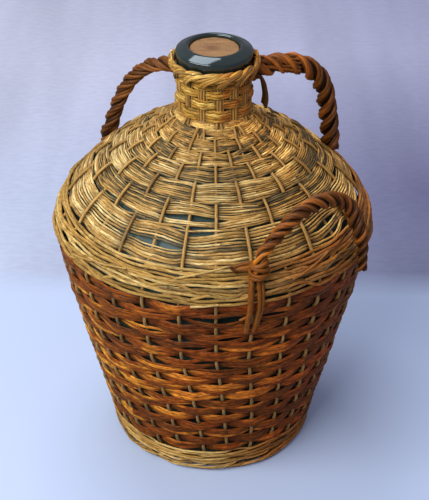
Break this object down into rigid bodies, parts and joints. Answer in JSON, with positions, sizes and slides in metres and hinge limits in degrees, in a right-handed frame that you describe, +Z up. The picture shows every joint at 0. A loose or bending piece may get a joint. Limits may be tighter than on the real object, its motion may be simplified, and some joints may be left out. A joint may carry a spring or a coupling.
{
  "type": "wicker demijohn",
  "caption": "Glass demijohn with a cork in its mouth, cased in woven willow with a foot, two carrying handles at the neck and a tipping hoop at the shoulder.",
  "frame": {"origin": "middle of the underside of the foot border, on the bottle's axis", "axes": "+Z up along the bottle's axis to the mouth; the tipping hoop is at the front, -Y, turned towards +X; the thicker carrying handle is at +X"},
  "size_m": [0.2904, 0.2943, 0.396],
  "materials": {
    "dark_glass": "gloss",
    "cork": "matte",
    "pale_willow": "satin",
    "neck_willow": "satin",
    "greyed_willow": "satin",
    "red_willow": "satin",
    "stake_willow": "matte",
    "handle_willow": "satin"
  },
  "bodies": {
    "demijohn": {"base_row_01": "pale_willow", "base_row_02": "pale_willow", "base_row_03": "pale_willow", "base_row_04": "pale_willow", "base_sticks": "stake_willow", "body_row_01": "red_willow", "body_row_02": "red_willow", "body_row_03": "red_willow", "body_row_04": "red_willow", "body_row_05": "red_willow", "body_row_06": "red_willow", "body_row_07": "red_willow", "body_row_08": "red_willow", "body_row_09": "red_willow", "body_row_10": "red_willow", "body_row_11": "red_willow", "body_row_12": "red_willow", "body_row_13": "red_willow", "body_row_14": "red_willow", "body_row_15": "red_willow", "body_row_16": "red_willow", "body_row_17": "red_willow", "body_row_18": "red_willow", "collar_border": "neck_willow", "collar_row_01": "neck_willow", "collar_row_02": "neck_willow", "collar_row_03": "neck_willow", "collar_row_04": "neck_willow", "foot_border": "pale_willow", "glass_bottle": "dark_glass", "left_neck_handle": "handle_willow", "pale_band": "pale_willow", "right_handle_tail": "handle_willow", "right_neck_handle": "handle_willow", "shoulder_row_01": "greyed_willow", "shoulder_row_02": "greyed_willow", "shoulder_row_03": "greyed_willow", "shoulder_row_04": "greyed_willow", "shoulder_row_05": "greyed_willow", "shoulder_row_06": "greyed_willow", "shoulder_row_07": "greyed_willow", "shoulder_row_08": "greyed_willow", "stake_frame": "stake_willow", "tipping_handle": "handle_willow", "tipping_handle_leg_1": "handle_willow", "tipping_handle_leg_2": "handle_willow", "tipping_handle_wrap": "handle_willow"},
    "cork": {"cork_bung": "cork"}
  },
  "joints": [
    {"name": "cork_pull", "type": "slide", "parent": "demijohn", "child": "cork", "axis": [0, 0, 1], "range_m": [0, 0.06]}
  ]
}
